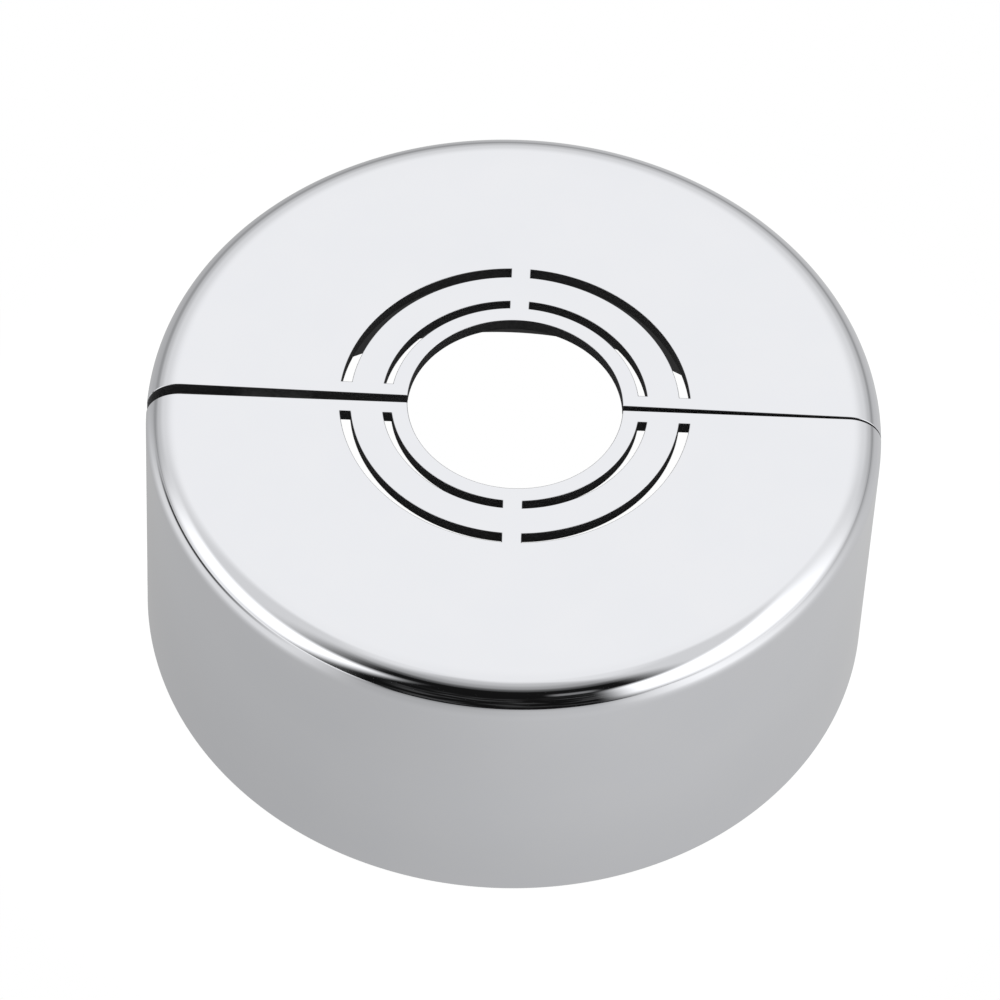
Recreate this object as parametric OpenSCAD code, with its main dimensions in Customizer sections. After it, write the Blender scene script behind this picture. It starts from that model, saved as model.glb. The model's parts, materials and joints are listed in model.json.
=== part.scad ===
// Deep split wall flange for a pipe: two like half shells of polished sheet
// close round the pipe, and a tongue under each half's face joins them.
// Z runs out from the wall along the pipe, and the rim stands on the wall at Z = 0.

/* [Shell] */
// Outside diameter of the skirt
flange_d = 76; // [70:0.5:110]
// Height of the face above the wall
flange_h = 32.7; // [15:0.1:60]
// Thickness of the sheet
sheet_t = 1.5; // [0.8:0.1:2]
// Outside radius of the drawn corner between face and skirt
corner_r = 3.6; // [2.5:0.1:7]

/* [Pipe hole and break-out rings] */
// Diameter of the pipe hole
pipe_hole_d = 22.2; // [15:0.1:24]
// Inside diameter of the inner ring of slots
inner_ring_d = 25.6; // [25:0.1:29]
// Width of the inner slots
inner_slot_w = 0.9; // [0.6:0.1:1.5]
// Inside diameter of the outer ring of slots
outer_ring_d = 34; // [33:0.1:38]
// Width of the outer slots
outer_slot_w = 1.1; // [0.6:0.1:1.8]
// Width of the web between the two slots of a half
mid_web_w = 2; // [1:0.1:4]
// Width of the strip between a slot's end and the cut edge
end_web_w = 1.5; // [1:0.1:3]

/* [Seam] */
// Gap between the cut edges at the skirt, on the wide side
seam_wide = 1.25; // [0.6:0.05:2]
// Gap between the cut edges at the skirt, on the narrow side
seam_narrow = 0.15; // [0.1:0.05:0.5]

/* [Tongues] */
// Width of a tongue, along the cut edge
tongue_w = 7.3; // [4:0.1:10]
// Thickness of a tongue
tongue_t = 1; // [0.6:0.1:1.5]
// Distance from the drawn corner's start to the tongue's outer edge
tongue_inset = 6.1; // [5:0.1:8]
// Length of the end welded under its own half
tongue_weld_l = 9; // [8:0.5:12]
// Length over which a tongue steps down by its play, inside its own half
tongue_joggle_l = 1.5; // [1:0.1:2]
// Length that reaches past the cut edge under the other half
tongue_reach = 10.5; // [7:0.5:13]
// Length of the tip that is bent down as a lead-in
tongue_lead_l = 2.5; // [1:0.1:4]
// Drop of the lead-in at its end
tongue_lead_drop = 0.8; // [0.2:0.1:1.5]
// Play between a tongue and the half that it slides under
tongue_play = 0.1; // [0.05:0.05:0.3]
// Rounding of a tongue's corners in plan
tongue_corner_r = 1.6; // [0.5:0.1:2]
// Diameter of a spot weld's print
weld_d = 2.6; // [1.5:0.1:3]
// Depth of a spot weld's print
weld_depth = 0.15; // [0.05:0.05:0.3]
// Distance between the two spot welds of a tongue
weld_pitch = 3.6; // [3:0.1:4]

/* [Hidden] */
$fn = 180;

shell_r = flange_d / 2;
face_r = shell_r - corner_r;
face_under = flange_h - sheet_t;
// Each half's cut edge lies this far from the diameter
seam_mean = (seam_wide + seam_narrow) / 2;
cut_y = seam_mean / 2;
// Each half is turned by this angle, which makes the seam a wedge
seam_turn = asin((seam_wide - seam_narrow) / flange_d) / 2;
// The middle of a tongue, on the side where its own half holds it
tongue_x = -(face_r - tongue_inset - tongue_w / 2);
tongue_top_y = cut_y + tongue_weld_l;
tongue_tip_y = cut_y - tongue_reach;
weld_mid_y = cut_y + (tongue_weld_l + tongue_joggle_l) / 2;
// Cutters run this far past the faces that they cut
over = 1;

// Section of the shell: radius along X, height along Y
module shell_section() {
    translate([pipe_hole_d / 2, face_under])
        square([face_r - pipe_hole_d / 2, sheet_t]);
    translate([shell_r - sheet_t, 0])
        square([sheet_t, flange_h - corner_r]);
    translate([face_r, flange_h - corner_r])
        intersection() {
            difference() {
                circle(r = corner_r);
                circle(r = corner_r - sheet_t);
            }
            square(corner_r);
        }
}

// The two arc slots that one ring leaves in a half's face
module ring_slots(ring_d, slot_w) {
    out_r = ring_d / 2 + slot_w;
    difference() {
        translate([0, 0, face_under - over])
            difference() {
                cylinder(r = out_r, h = sheet_t + 2 * over);
                translate([0, 0, -over])
                    cylinder(d = ring_d, h = sheet_t + 4 * over);
            }
        translate([-mid_web_w / 2, 0, face_under - 2 * over])
            cube([mid_web_w, out_r + over, sheet_t + 4 * over]);
        translate([-out_r - over, -out_r - over, face_under - 2 * over])
            cube([2 * (out_r + over), out_r + over + cut_y + end_web_w, sheet_t + 4 * over]);
    }
}

// One half, with its cut edge along X and its shell on the side of +Y
module half_shell() {
    difference() {
        rotate_extrude()
            shell_section();
        translate([-shell_r - over, -shell_r - over, -over])
            cube([flange_d + 2 * over, shell_r + over + cut_y, flange_h + 2 * over]);
        ring_slots(inner_ring_d, inner_slot_w);
        ring_slots(outer_ring_d, outer_slot_w);
    }
}

// Rectangle with rounded corners about the origin
module rounded_rectangle(w, l, r) {
    square([w - 2 * r, l], center = true);
    square([w, l - 2 * r], center = true);
    for (x = [-1, 1], y = [-1, 1])
        translate([x * (w / 2 - r), y * (l / 2 - r)])
            circle(r = r);
}

// Bent strip seen from its side: Y to the right, height upwards
module tongue_section() {
    top = [
        [tongue_top_y, face_under],
        [cut_y + tongue_joggle_l, face_under],
        [cut_y, face_under - tongue_play],
        [tongue_tip_y + tongue_lead_l, face_under - tongue_play],
        [tongue_tip_y, face_under - tongue_play - tongue_lead_drop],
    ];
    last = len(top) - 1;
    under = [for (i = [last:-1:0]) [top[i][0], top[i][1] - tongue_t]];
    polygon(concat(top, under));
}

// Joining tongue of one half, in that half's own position
module tongue() {
    strip_l = tongue_weld_l + tongue_reach;
    low = face_under - tongue_play - tongue_lead_drop - tongue_t - over;
    difference() {
        intersection() {
            translate([tongue_x - tongue_w / 2, 0, 0])
                rotate([90, 0, 90])
                    linear_extrude(tongue_w)
                        tongue_section();
            translate([tongue_x, (tongue_top_y + tongue_tip_y) / 2, low])
                linear_extrude(face_under - low + over)
                    rounded_rectangle(tongue_w, strip_l, tongue_corner_r);
        }
        for (side = [-1, 1])
            translate([tongue_x, weld_mid_y + side * weld_pitch / 2, face_under - tongue_t - over])
                cylinder(d = weld_d, h = over + weld_depth);
    }
}

module rear_place() {
    rotate([0, 0, -seam_turn])
        children();
}

module front_place() {
    rotate([0, 0, 180 + seam_turn])
        children();
}

module rear_half() {
    color("gainsboro") rear_place() half_shell();
}

module front_half() {
    color("lightgray") front_place() half_shell();
}

module left_tongue() {
    color("darkgray") rear_place() tongue();
}

module right_tongue() {
    color("gray") front_place() tongue();
}

rear_half();
front_half();
left_tongue();
right_tongue();
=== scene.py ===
"""Looks of the split wall flange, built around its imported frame.

All lengths are in metres. Angles of the studio are in degrees, and its levels are brightnesses with
white paper at 1.
"""

import json
import math

import bmesh
import bpy
from mathutils import Matrix, Vector


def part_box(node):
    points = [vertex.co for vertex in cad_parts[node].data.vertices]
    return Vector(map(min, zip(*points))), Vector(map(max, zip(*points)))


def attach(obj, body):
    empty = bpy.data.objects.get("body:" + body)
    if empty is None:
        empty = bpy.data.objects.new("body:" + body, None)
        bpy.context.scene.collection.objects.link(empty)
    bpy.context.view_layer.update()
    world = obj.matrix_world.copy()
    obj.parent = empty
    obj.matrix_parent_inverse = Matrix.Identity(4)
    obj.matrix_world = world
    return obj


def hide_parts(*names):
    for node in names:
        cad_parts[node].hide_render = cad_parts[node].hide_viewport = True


MM = 0.001

# Shell, as the frame has it
CORNER_R = 3.6 * MM
INNER_RING_R = 12.8 * MM
INNER_SLOT_W = 0.9 * MM
OUTER_RING_R = 17.0 * MM
OUTER_SLOT_W = 1.1 * MM
MID_WEB_W = 2.0 * MM
END_WEB_W = 1.5 * MM
SEAM_WIDE = 1.25 * MM
SEAM_NARROW = 0.15 * MM

# Tongues, as the frame has them
TONGUE_W = 7.3 * MM
TONGUE_T = 1.0 * MM
TONGUE_INSET = 6.1 * MM
TONGUE_WELD_L = 9.0 * MM
TONGUE_JOGGLE_L = 1.5 * MM
TONGUE_REACH = 10.5 * MM
TONGUE_LEAD_L = 2.5 * MM
TONGUE_LEAD_DROP = 0.8 * MM
TONGUE_PLAY = 0.1 * MM
TONGUE_CORNER_R = 1.6 * MM
WELD_R = 1.3 * MM
WELD_DEPTH = 0.15 * MM
WELD_PITCH = 3.6 * MM

# Edges broken by tumbling and plating
EDGE_BREAK = 0.11 * MM
TONGUE_EDGE_BREAK = 0.1 * MM
EDGE_SEGMENTS = 2
SHARP_ANGLE = 40

# Mesh fineness
CORNER_STEPS = 18
SWEEP_STEPS = 96
WEB_STEPS = 4

# Camera of the photograph
CAMERA_TARGET = (-1.016 * MM, 0.014 * MM, 16.517 * MM)
CAMERA_DISTANCE = 715.72 * MM
CAMERA_AZIMUTH = -0.778
CAMERA_ELEVATION = 51.753
CAMERA_ROLL = 3.1225
CAMERA_LENS = 245.885

FLOOR_HALF = 4.0
# The floor is shaded by the object this far from the skirt
SHADE_REACH = 30 * MM
SHADED_PAPER = 0.9
PAPER_GREY = (0.25, 0.25, 0.25, 1.0)

# Brightness by elevation: beside and behind the object, between the softboxes, behind the camera
SIDE_SKY = [(0, 0.36), (9, 0.56), (25, 0.76), (50, 0.97), (90, 0.93)]
BAND_SKY = [(0, 0.6), (40, 0.72), (68, 0.72), (78, 0.84), (90, 0.93)]
FRONT_SKY = [(0, 0.006), (53, 0.008), (58, 0.1), (66, 0.37), (78, 0.58), (90, 0.93)]
ZENITH = 90
SOFTBOX_LEVEL = 1.3
LAMP_GLOW = 0.22
DIM_ROOM_GLOW = 0.05
BELOW_HORIZON = 0.5

# Brightness of the floor in reflections, painted light and shade: by distance from the pipe's axis, then by
# region
# Painted shade: the floor is darker right beside the skirt than a little further out
NEAR_FLOOR = [(0.038, 0.47), (0.05, 0.50), (0.07, 0.52), (0.12, 0.49), (0.35, 0.38), (0.6, 0.38)]
NEAR_FLOOR_END = 0.6
NEAR_FLOOR_DIM = 0.03
# Painted light: the floor is lighter to the right, with painted pools of light at both sides
RIGHT_TILT = 0.1
RIGHT_LIGHT_POOL = 1.08
LEFT_LIGHT_POOL = 0.8
# Painted shade: a dark band on the floor to the left, seen in reflections
PAINTED_DARK_BAND = 0.04
# Painted light and shade far out: dark in front, bright at the front corners, grey behind
FAR_FRONT = 0.006
FAR_CORNERS = 0.95
FAR_REAR = 0.34
# Painted shadow: the floor under the shell, as seen in reflections
SHADE_UNDER_SHELL = 0.06


def frame_sizes(record, low, high):
    """Driving sizes of the shell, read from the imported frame."""
    bore = next(m for m in record["mounts"] if m["name"] == "pipe_hole")
    return {
        "radius": (high.x - low.x) / 2,
        "height": high.z,
        "hole_r": bore["dims"]["r_mm"] * MM,
        "sheet": bore["dims"]["length_mm"] * MM,
    }


# Shape of the halves


def shell_profile(size):
    """Matching (radius, height) points of the outer and the inner surface, from hole to rim."""
    radius = size["radius"]
    height = size["height"]
    sheet = size["sheet"]
    face_r = radius - CORNER_R
    corner_z = height - CORNER_R
    face_radii = [
        size["hole_r"],
        (size["hole_r"] + INNER_RING_R) / 2,
        INNER_RING_R,
        INNER_RING_R + INNER_SLOT_W,
        (INNER_RING_R + INNER_SLOT_W + OUTER_RING_R) / 2,
        OUTER_RING_R,
        OUTER_RING_R + OUTER_SLOT_W,
    ]
    slots_end = face_radii[-1]
    plain_rings = 5
    for k in range(1, plain_rings + 1):
        face_radii.append(slots_end + (face_r - slots_end) * k / plain_rings)
    outer = [(r, height) for r in face_radii]
    inner = [(r, height - sheet) for r in face_radii]
    for k in range(1, CORNER_STEPS + 1):
        turn = math.pi / 2 * k / CORNER_STEPS
        for line, r in ((outer, CORNER_R), (inner, CORNER_R - sheet)):
            line.append((face_r + r * math.sin(turn), corner_z + r * math.cos(turn)))
    skirt_rings = 8
    for k in range(1, skirt_rings + 1):
        z = corner_z * (1 - k / skirt_rings)
        outer.append((radius, z))
        inner.append((radius - sheet, z))
    return outer, inner


def sweep_angles(radius, cut_y):
    """Angles at one radius, from cut edge to cut edge, with lines along the slots' ends."""
    to_end = math.asin(cut_y / radius)
    to_slot = math.asin((cut_y + END_WEB_W) / radius)
    to_web = math.acos(MID_WEB_W / 2 / radius)
    quarter = [to_end + (to_slot - to_end) * k / WEB_STEPS for k in range(WEB_STEPS)]
    quarter += [to_slot + (to_web - to_slot) * k / SWEEP_STEPS for k in range(SWEEP_STEPS)]
    quarter += [to_web + (math.pi / 2 - to_web) * k / WEB_STEPS for k in range(WEB_STEPS)]
    return quarter + [math.pi / 2] + [math.pi - a for a in reversed(quarter)]


def is_slot(ring, step):
    """True for the cells that the two rings of slots leave open."""
    slot_rings = (2, 5)
    last = 2 * (2 * WEB_STEPS + SWEEP_STEPS) - 1
    side_step = min(step, last - step)
    return ring in slot_rings and WEB_STEPS <= side_step < WEB_STEPS + SWEEP_STEPS


def half_shell_mesh(name, size, turn):
    """One half shell as a closed mesh, turned into its place about the pipe's axis."""
    cut_y = (SEAM_WIDE + SEAM_NARROW) / 4
    profiles = shell_profile(size)
    bm = bmesh.new()
    place = Matrix.Rotation(turn, 3, "Z")
    grids = []
    for profile in profiles:
        grid = []
        for r, z in profile:
            angles = sweep_angles(r, cut_y)
            grid.append([bm.verts.new(place @ Vector((r * math.cos(a), r * math.sin(a), z))) for a in angles])
        grids.append(grid)
    outer, inner = grids
    rings = len(outer) - 1
    steps = len(outer[0]) - 1

    def solid(ring, step):
        return 0 <= ring < rings and 0 <= step < steps and not is_slot(ring, step)

    def quad(corners, material):
        face = bm.faces.new(corners)
        face.material_index = material
        face.smooth = True

    polished, raw, inside = 0, 1, 2
    for i in range(rings):
        for j in range(steps):
            if not solid(i, j):
                continue
            around = ((i, j), (i + 1, j), (i + 1, j + 1), (i, j + 1))
            quad([outer[a][b] for a, b in around], polished)
            quad([inner[a][b] for a, b in reversed(around)], inside)
            sides = (
                ((i, j - 1), (i, j), (i + 1, j)),
                ((i, j + 1), (i + 1, j + 1), (i, j + 1)),
                ((i - 1, j), (i, j + 1), (i, j)),
                ((i + 1, j), (i + 1, j), (i + 1, j + 1)),
            )
            for beyond, start, end in sides:
                if solid(*beyond):
                    continue
                (a, b), (c, d) = start, end
                quad([outer[c][d], outer[a][b], inner[a][b], inner[c][d]], raw)
    bmesh.ops.recalc_face_normals(bm, faces=bm.faces)
    mesh = bpy.data.meshes.new(name)
    bm.to_mesh(mesh)
    bm.free()
    return mesh


def break_edges(piece, width):
    """Rounds every sharp edge a little and keeps the normals of the faces beside it."""
    bevel = piece.modifiers.new("edge_break", "BEVEL")
    bevel.width = width
    bevel.segments = EDGE_SEGMENTS
    bevel.limit_method = "ANGLE"
    bevel.angle_limit = math.radians(SHARP_ANGLE)
    bevel.harden_normals = True


def make_half(name, size, turn, materials):
    mesh = half_shell_mesh(name, size, turn)
    for material in materials:
        mesh.materials.append(material)
    piece = bpy.data.objects.new(name, mesh)
    bpy.context.scene.collection.objects.link(piece)
    break_edges(piece, EDGE_BREAK)
    return piece


# Shape of the tongues


def tongue_top(y, under, cut_y):
    """Height of a tongue's top face at a distance y from the seam's middle."""
    low = under - TONGUE_PLAY
    tip_y = cut_y - TONGUE_REACH
    if y >= cut_y + TONGUE_JOGGLE_L:
        return under
    if y >= cut_y:
        return low + TONGUE_PLAY * (y - cut_y) / TONGUE_JOGGLE_L
    if y >= tip_y + TONGUE_LEAD_L:
        return low
    return low - TONGUE_LEAD_DROP * (1 - (y - tip_y) / TONGUE_LEAD_L)


def tongue_half_width(y, low_y, high_y):
    """Half the width of the rounded outline at y."""
    to_end = min(y - low_y, high_y - y)
    if to_end >= TONGUE_CORNER_R:
        return TONGUE_W / 2
    run = TONGUE_CORNER_R - to_end
    return TONGUE_W / 2 - TONGUE_CORNER_R + math.sqrt(max(TONGUE_CORNER_R**2 - run**2, 0.0))


def tongue_mesh(name, size, turn):
    cut_y = (SEAM_WIDE + SEAM_NARROW) / 4
    under = size["height"] - size["sheet"]
    high_y = cut_y + TONGUE_WELD_L
    low_y = cut_y - TONGUE_REACH
    mid_x = -(size["radius"] - CORNER_R - TONGUE_INSET - TONGUE_W / 2)
    weld_y = cut_y + (TONGUE_WELD_L + TONGUE_JOGGLE_L) / 2
    welds = [weld_y - WELD_PITCH / 2, weld_y + WELD_PITCH / 2]
    corner_steps = 10
    ends = [TONGUE_CORNER_R * (1 - math.cos(math.pi / 2 * k / corner_steps)) for k in range(corner_steps)]
    middle_steps = 90
    run = high_y - low_y - 2 * TONGUE_CORNER_R
    rows = [low_y + e for e in ends]
    rows += [low_y + TONGUE_CORNER_R + run * k / middle_steps for k in range(middle_steps + 1)]
    rows += [high_y - e for e in reversed(ends)]
    columns = 36
    place = Matrix.Rotation(turn, 3, "Z")
    bm = bmesh.new()
    top = []
    bottom = []
    for y in rows:
        half_w = tongue_half_width(y, low_y, high_y)
        z = tongue_top(y, under, cut_y)
        top_row = []
        bottom_row = []
        for k in range(columns + 1):
            x = mid_x + half_w * (2 * k / columns - 1)
            dent = 0.0
            for centre in welds:
                away = math.hypot(x - mid_x, y - centre)
                share = min(max((WELD_R - away) / (0.25 * WELD_R), 0.0), 1.0)
                dent = max(dent, WELD_DEPTH * share * share * (3 - 2 * share))
            top_row.append(bm.verts.new(place @ Vector((x, y, z))))
            bottom_row.append(bm.verts.new(place @ Vector((x, y, z - TONGUE_T + dent))))
        top.append(top_row)
        bottom.append(bottom_row)
    last = len(rows) - 1
    for i in range(last):
        for k in range(columns):
            bm.faces.new((top[i][k], top[i][k + 1], top[i + 1][k + 1], top[i + 1][k]))
            bm.faces.new((bottom[i][k], bottom[i + 1][k], bottom[i + 1][k + 1], bottom[i][k + 1]))
        for k in (0, columns):
            bm.faces.new((top[i][k], top[i + 1][k], bottom[i + 1][k], bottom[i][k]))
    for i in (0, last):
        for k in range(columns):
            bm.faces.new((top[i][k], top[i][k + 1], bottom[i][k + 1], bottom[i][k]))
    bmesh.ops.recalc_face_normals(bm, faces=bm.faces)
    for face in bm.faces:
        face.smooth = True
    mesh = bpy.data.meshes.new(name)
    bm.to_mesh(mesh)
    bm.free()
    return mesh


def make_tongue(name, size, turn, material):
    mesh = tongue_mesh(name, size, turn)
    mesh.materials.append(material)
    piece = bpy.data.objects.new(name, mesh)
    bpy.context.scene.collection.objects.link(piece)
    break_edges(piece, TONGUE_EDGE_BREAK)
    return piece


# Shader building


class Graph:
    """Short calls for the shader nodes of one tree."""

    def __init__(self, tree):
        self.tree = tree
        tree.nodes.clear()

    def node(self, kind, **settings):
        made = self.tree.nodes.new(kind)
        for key, value in settings.items():
            setattr(made, key, value)
        return made

    def feed(self, socket, value):
        if isinstance(value, bpy.types.NodeSocket):
            self.tree.links.new(value, socket)
        else:
            socket.default_value = value

    def math(self, operation, a, b=0.0):
        made = self.node("ShaderNodeMath", operation=operation)
        self.feed(made.inputs[0], a)
        self.feed(made.inputs[1], b)
        return made.outputs[0]

    def ramp(self, value, start, end):
        """0 at start and 1 at end, with a smooth step between them."""
        made = self.node("ShaderNodeMapRange", interpolation_type="SMOOTHSTEP")
        flip = start > end
        self.feed(made.inputs["Value"], value)
        made.inputs["From Min"].default_value = min(start, end)
        made.inputs["From Max"].default_value = max(start, end)
        made.inputs["To Min"].default_value = 1.0 if flip else 0.0
        made.inputs["To Max"].default_value = 0.0 if flip else 1.0
        return made.outputs["Result"]

    def product(self, *factors):
        result = factors[0]
        for factor in factors[1:]:
            result = self.math("MULTIPLY", result, factor)
        return result

    def blend(self, share, a, b):
        made = self.node("ShaderNodeMix", data_type="FLOAT")
        self.feed(made.inputs[0], share)
        self.feed(made.inputs[2], a)
        self.feed(made.inputs[3], b)
        return made.outputs[0]

    def blend_colour(self, share, a, b):
        made = self.node("ShaderNodeMix", data_type="RGBA")
        self.feed(made.inputs[0], share)
        self.feed(made.inputs[6], a)
        self.feed(made.inputs[7], b)
        return made.outputs[2]

    def steps(self, value, stops, scale):
        """A level that follows (position, level) stops; positions are divided by scale."""
        made = self.node("ShaderNodeValToRGB")
        made.color_ramp.interpolation = "EASE"
        points = made.color_ramp.elements
        while len(points) < len(stops):
            points.new(0.5)
        for point, (place, level) in zip(points, stops):
            point.position = place / scale
            point.color = (level, level, level, 1.0)
        self.feed(made.inputs[0], self.math("DIVIDE", value, scale))
        return made.outputs["Color"]

    def direction(self, vector):
        """Elevation and azimuth of a direction in degrees; azimuth 0 is the front, 90 is +X."""
        parts = self.node("ShaderNodeSeparateXYZ")
        self.feed(parts.inputs[0], vector)
        x, y, z = parts.outputs
        level = self.math("SQRT", self.math("ADD", self.product(x, x), self.product(y, y)))
        elevation = self.math("ARCTAN2", z, level)
        azimuth = self.math("ARCTAN2", x, self.math("MULTIPLY", y, -1.0))
        turn = math.degrees(1.0)
        return self.math("MULTIPLY", elevation, turn), self.math("MULTIPLY", azimuth, turn)


def seen_directly(graph):
    """1 for rays from the camera, and for those that passed straight through something."""
    path = graph.node("ShaderNodeLightPath")
    return graph.math("MAXIMUM", path.outputs["Is Camera Ray"], path.outputs["Is Transmission Ray"])


# Studio


def studio_world():
    """White backdrop, two tall softboxes at the front corners and a dark gap behind the camera."""
    world = bpy.data.worlds.new("studio")
    world.use_nodes = True
    graph = Graph(world.node_tree)
    place = graph.node("ShaderNodeTexCoord")
    elevation, azimuth = graph.direction(place.outputs["Generated"])
    left = graph.math("MULTIPLY", azimuth, -1.0)
    either = graph.math("ABSOLUTE", azimuth)

    side_sky = graph.steps(elevation, SIDE_SKY, ZENITH)
    band_sky = graph.steps(elevation, BAND_SKY, ZENITH)
    front_sky = graph.steps(elevation, FRONT_SKY, ZENITH)
    sky = graph.blend(graph.ramp(either, 130, 98), side_sky, band_sky)
    dark_right = graph.ramp(azimuth, 62, 36)
    dark_left = graph.ramp(left, 80, 34)
    sky = graph.blend(graph.product(dark_right, dark_left), sky, front_sky)

    lean_right = graph.math("SUBTRACT", elevation, graph.math("MULTIPLY", azimuth, 0.25))
    box_right = graph.product(
        graph.ramp(azimuth, 24, 38),
        graph.ramp(azimuth, 122, 82),
        graph.ramp(lean_right, 32, 24),
        graph.ramp(elevation, -8, 14),
    )
    lean_left = graph.math("ADD", left, graph.math("MULTIPLY", elevation, 0.6))
    top_left = graph.math("ADD", elevation, graph.math("MULTIPLY", left, 0.12))
    box_left = graph.product(
        graph.ramp(lean_left, 46, 64),
        graph.ramp(left, 118, 88),
        graph.ramp(top_left, 50, 38),
        graph.ramp(elevation, -8, 12),
    )
    light = graph.blend(graph.math("MAXIMUM", box_right, box_left), sky, SOFTBOX_LEVEL)

    streak_place = graph.node("ShaderNodeCombineXYZ")
    graph.feed(streak_place.inputs[0], graph.math("MULTIPLY", azimuth, 0.05))
    graph.feed(streak_place.inputs[1], graph.math("MULTIPLY", elevation, 0.16))
    streaks = graph.node("ShaderNodeTexNoise")
    graph.feed(streaks.inputs["Vector"], streak_place.outputs[0])
    streaks.inputs["Scale"].default_value = 1.0
    streaks.inputs["Detail"].default_value = 2.0
    dim_room = graph.product(
        graph.ramp(azimuth, -34, -22),
        graph.ramp(azimuth, 36, 24),
        graph.ramp(elevation, 36, 28),
        graph.ramp(streaks.outputs["Fac"], 0.46, 0.62),
    )
    lamp = graph.product(
        graph.ramp(azimuth, 12, 17),
        graph.ramp(azimuth, 30, 24),
        graph.ramp(elevation, 36, 40),
        graph.ramp(elevation, 46, 42),
    )
    light = graph.math("ADD", light, graph.math("MULTIPLY", lamp, LAMP_GLOW))
    light = graph.math("ADD", light, graph.math("MULTIPLY", dim_room, DIM_ROOM_GLOW))
    light = graph.blend(graph.ramp(elevation, -1.0, -4.0), light, BELOW_HORIZON)

    direct = seen_directly(graph)
    shown = graph.blend(direct, light, 1.0)
    background = graph.node("ShaderNodeBackground")
    background.inputs["Color"].default_value = (1.0, 1.0, 1.0, 1.0)
    graph.feed(background.inputs["Strength"], shown)
    out = graph.node("ShaderNodeOutputWorld")
    graph.feed(out.inputs["Surface"], background.outputs[0])
    world.cycles.sampling_method = "NONE"
    bpy.context.scene.world = world


def floor_material(size):
    """White paper: white to the camera, and in reflections painted with the studio's light and shade by
    position.
    """
    material = bpy.data.materials.new("floor_paper")
    material.use_nodes = True
    graph = Graph(material.node_tree)
    place = graph.node("ShaderNodeNewGeometry")
    parts = graph.node("ShaderNodeSeparateXYZ")
    graph.feed(parts.inputs[0], place.outputs["Position"])
    x, y, _ = parts.outputs
    away = graph.math("SQRT", graph.math("ADD", graph.product(x, x), graph.product(y, y)))
    _, azimuth = graph.direction(place.outputs["Position"])
    left = graph.math("MULTIPLY", azimuth, -1.0)

    # Painted shade near the skirt, seen only in reflections
    near = graph.steps(away, NEAR_FLOOR, NEAR_FLOOR_END)
    # Painted light: the floor is lighter to the right, seen in reflections
    tilt = graph.math("MULTIPLY", graph.ramp(x, -0.04, 0.03), RIGHT_TILT)
    level = graph.math("ADD", graph.math("SUBTRACT", near, NEAR_FLOOR_DIM), tilt)
    # Painted pools of light on the floor at both sides, seen in reflections
    painted_light_right = graph.product(
        graph.ramp(azimuth, 20, 50),
        graph.ramp(azimuth, 112, 46),
        graph.ramp(away, 0.06, 0.125),
    )
    painted_light_left = graph.product(
        graph.ramp(left, 30, 54),
        graph.ramp(left, 122, 92),
        graph.ramp(away, 0.055, 0.1),
    )
    level = graph.blend(painted_light_right, level, RIGHT_LIGHT_POOL)
    level = graph.blend(painted_light_left, level, LEFT_LIGHT_POOL)
    # Painted shade: a dark band on the floor to the left, seen only in reflections
    dark_band_mask = graph.product(
        graph.ramp(left, 48, 84),
        graph.ramp(left, 114, 98),
        graph.ramp(away, 0.15, 0.205),
        graph.ramp(away, 0.46, 0.3),
    )
    level = graph.blend(dark_band_mask, level, PAINTED_DARK_BAND)
    # Painted light and shade far out: the floor is dark in front, bright at the front corners and grey
    # behind, in reflections
    either = graph.math("ABSOLUTE", azimuth)
    far_level = graph.blend(graph.ramp(either, 26, 44), FAR_FRONT, FAR_CORNERS)
    far_level = graph.blend(graph.ramp(either, 78, 116), far_level, FAR_REAR)
    level = graph.blend(graph.ramp(away, 0.42, 0.65), level, far_level)
    # Painted shadow: the floor under the shell is dark in reflections
    inside = graph.ramp(away, size["radius"], size["radius"] - size["sheet"])
    level = graph.blend(inside, level, SHADE_UNDER_SHELL)

    direct = seen_directly(graph)
    glow = graph.node("ShaderNodeEmission")
    beside = graph.product(
        graph.ramp(away, size["radius"] - size["sheet"], size["radius"]),
        graph.ramp(away, size["radius"] + SHADE_REACH, size["radius"]),
    )
    paper_glow = graph.blend(beside, 1.0, SHADED_PAPER)
    graph.feed(glow.inputs["Strength"], graph.blend(direct, level, paper_glow))
    paper = graph.node("ShaderNodeBsdfDiffuse")
    paper.inputs["Color"].default_value = PAPER_GREY
    shaded = graph.node("ShaderNodeAddShader")
    graph.feed(shaded.inputs[0], glow.outputs[0])
    graph.feed(shaded.inputs[1], paper.outputs[0])
    lit = graph.node("ShaderNodeMixShader")
    graph.feed(lit.inputs[0], graph.product(direct, beside))
    graph.feed(lit.inputs[1], glow.outputs[0])
    graph.feed(lit.inputs[2], shaded.outputs[0])
    above = graph.node("ShaderNodeMixShader")
    clear = graph.node("ShaderNodeBsdfTransparent")
    graph.feed(above.inputs[0], place.outputs["Backfacing"])
    graph.feed(above.inputs[1], lit.outputs[0])
    graph.feed(above.inputs[2], clear.outputs[0])
    out = graph.node("ShaderNodeOutputMaterial")
    graph.feed(out.inputs["Surface"], above.outputs[0])
    material.cycles.emission_sampling = "NONE"
    return material


def make_floor(size):
    mesh = bpy.data.meshes.new("floor")
    corners = [(-1, -1), (1, -1), (1, 1), (-1, 1)]
    mesh.from_pydata([(x * FLOOR_HALF, y * FLOOR_HALF, 0.0) for x, y in corners], [], [(0, 1, 2, 3)])
    mesh.materials.append(floor_material(size))
    floor = bpy.data.objects.new("floor", mesh)
    bpy.context.scene.collection.objects.link(floor)


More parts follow.
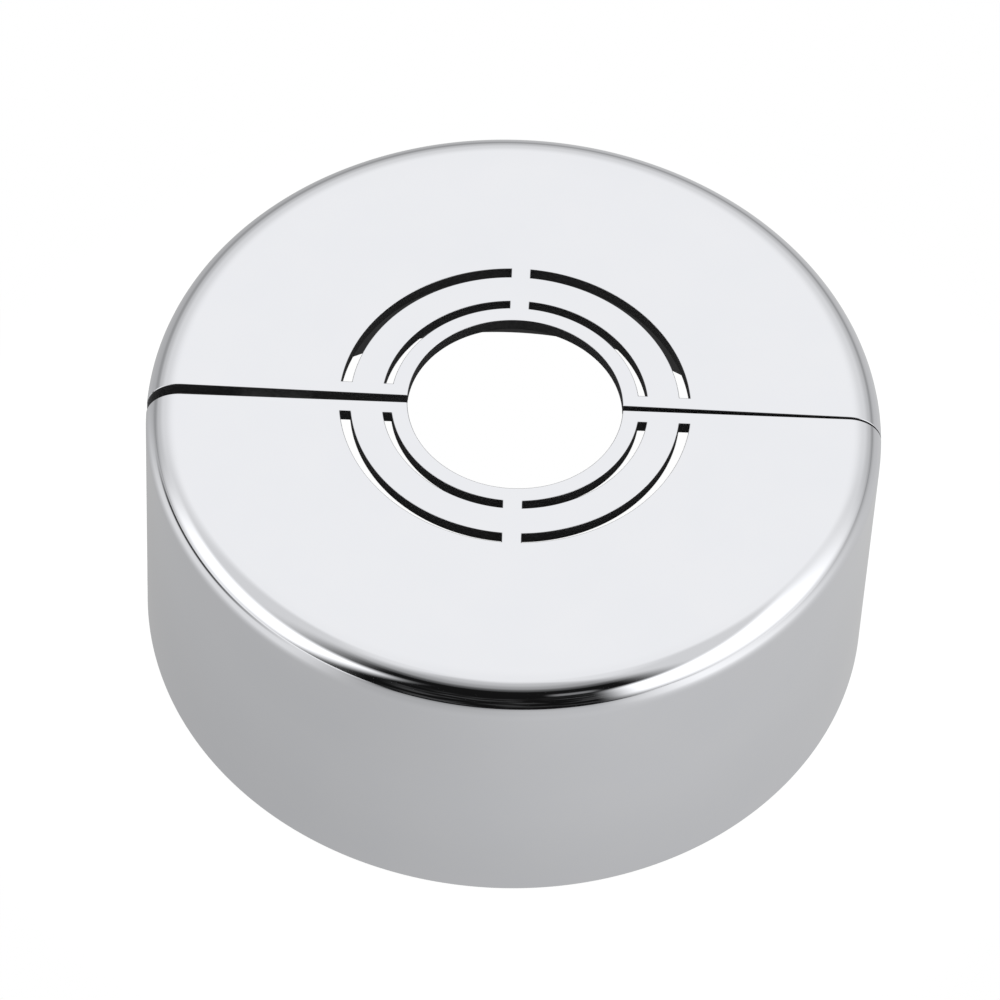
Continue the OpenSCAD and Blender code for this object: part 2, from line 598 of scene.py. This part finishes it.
def make_camera():
    data = bpy.data.cameras.new("camera")
    data.lens = CAMERA_LENS
    data.sensor_width = 36.0
    data.clip_start = 0.01
    camera = bpy.data.objects.new("camera", data)
    bpy.context.scene.collection.objects.link(camera)
    azimuth = math.radians(CAMERA_AZIMUTH)
    elevation = math.radians(CAMERA_ELEVATION)
    back = Vector((
        math.sin(azimuth) * math.cos(elevation),
        -math.cos(azimuth) * math.cos(elevation),
        math.sin(elevation),
    ))
    level = (-back).to_track_quat("-Z", "Y").to_matrix()
    roll = Matrix.Rotation(math.radians(CAMERA_ROLL), 3, "Z")
    place = Matrix.Translation(Vector(CAMERA_TARGET) + back * CAMERA_DISTANCE)
    camera.matrix_world = place @ (level @ roll).to_4x4()
    bpy.context.scene.camera = camera


# Finishes


def metal(name, colour, roughness):
    """A metal shader with its plain values set on its own sockets."""
    material = bpy.data.materials.new(name)
    material.use_nodes = True
    graph = Graph(material.node_tree)
    shader = graph.node("ShaderNodeBsdfPrincipled")
    shader.inputs["Metallic"].default_value = 1.0
    shader.inputs["Base Color"].default_value = (*colour, 1.0)
    shader.inputs["Roughness"].default_value = roughness
    out = graph.node("ShaderNodeOutputMaterial")
    graph.feed(out.inputs["Surface"], shader.outputs[0])
    return material, graph, shader


def polished_finish():
    material, graph, shader = metal("polished_shell", (0.86, 0.87, 0.9), 0.05)
    place = graph.node("ShaderNodeTexCoord")
    haze = graph.node("ShaderNodeTexNoise")
    graph.feed(haze.inputs["Vector"], place.outputs["Object"])
    haze.inputs["Scale"].default_value = 140.0
    haze.inputs["Detail"].default_value = 3.0
    graph.feed(shader.inputs["Roughness"], graph.blend(haze.outputs["Fac"], 0.035, 0.075))
    graph.feed(
        shader.inputs["Base Color"],
        graph.blend_colour(haze.outputs["Fac"], (0.845, 0.857, 0.89, 1.0), (0.875, 0.88, 0.905, 1.0)),
    )
    return material


def raw_edge_finish():
    material, graph, shader = metal("sheared_edge", (0.2, 0.2, 0.205), 0.45)
    place = graph.node("ShaderNodeTexCoord")
    grain = graph.node("ShaderNodeTexNoise")
    graph.feed(grain.inputs["Vector"], place.outputs["Object"])
    grain.inputs["Scale"].default_value = 2500.0
    graph.feed(
        shader.inputs["Base Color"],
        graph.blend_colour(grain.outputs["Fac"], (0.14, 0.14, 0.145, 1.0), (0.28, 0.28, 0.285, 1.0)),
    )
    return material


def inside_finish():
    material, graph, shader = metal("inside_of_shell", (0.5, 0.5, 0.5), 0.4)
    place = graph.node("ShaderNodeTexCoord")
    haze = graph.node("ShaderNodeTexNoise")
    graph.feed(haze.inputs["Vector"], place.outputs["Object"])
    haze.inputs["Scale"].default_value = 300.0
    haze.inputs["Detail"].default_value = 4.0
    graph.feed(shader.inputs["Roughness"], graph.blend(haze.outputs["Fac"], 0.3, 0.5))
    graph.feed(
        shader.inputs["Base Color"],
        graph.blend_colour(haze.outputs["Fac"], (0.42, 0.42, 0.43, 1.0), (0.58, 0.58, 0.58, 1.0)),
    )
    return material


def tongue_finish():
    material, graph, shader = metal("tongue_steel", (0.58, 0.58, 0.57), 0.35)
    place = graph.node("ShaderNodeTexCoord")
    brush = graph.node("ShaderNodeMapping")
    brush.inputs["Scale"].default_value = (6000.0, 150.0, 150.0)
    graph.feed(brush.inputs["Vector"], place.outputs["Object"])
    lines = graph.node("ShaderNodeTexNoise")
    lines.inputs["Scale"].default_value = 1.0
    graph.feed(lines.inputs["Vector"], brush.outputs[0])
    graph.feed(shader.inputs["Roughness"], graph.blend(lines.outputs["Fac"], 0.25, 0.45))
    graph.feed(
        shader.inputs["Base Color"],
        graph.blend_colour(lines.outputs["Fac"], (0.5, 0.5, 0.49, 1.0), (0.66, 0.66, 0.65, 1.0)),
    )
    return material


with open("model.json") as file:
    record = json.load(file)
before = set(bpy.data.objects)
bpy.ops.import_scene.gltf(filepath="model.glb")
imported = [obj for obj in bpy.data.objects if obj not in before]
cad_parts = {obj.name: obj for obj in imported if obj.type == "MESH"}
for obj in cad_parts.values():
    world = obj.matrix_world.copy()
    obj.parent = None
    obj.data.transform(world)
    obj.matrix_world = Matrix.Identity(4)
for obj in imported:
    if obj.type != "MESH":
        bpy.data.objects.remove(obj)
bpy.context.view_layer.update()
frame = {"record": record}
low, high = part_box("rear_half")
size = frame_sizes(frame["record"], low, high)
seam_turn = math.asin((SEAM_WIDE - SEAM_NARROW) / (2 * size["radius"])) / 2
rear_turn = -seam_turn
front_turn = math.pi + seam_turn

bpy.context.scene.view_settings.view_transform = "Standard"
make_camera()
studio_world()
make_floor(size)

shell_finishes = [polished_finish(), raw_edge_finish(), inside_finish()]
steel = tongue_finish()
for node, body, turn in (("rear_half", "rear", rear_turn), ("front_half", "front", front_turn)):
    half = make_half(node + "_shell", size, turn, shell_finishes)
    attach(half, body)
    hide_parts(node)
for node, body, turn in (("left_tongue", "rear", rear_turn), ("right_tongue", "front", front_turn)):
    tongue = make_tongue(node + "_strip", size, turn, steel)
    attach(tongue, body)
    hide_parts(node)
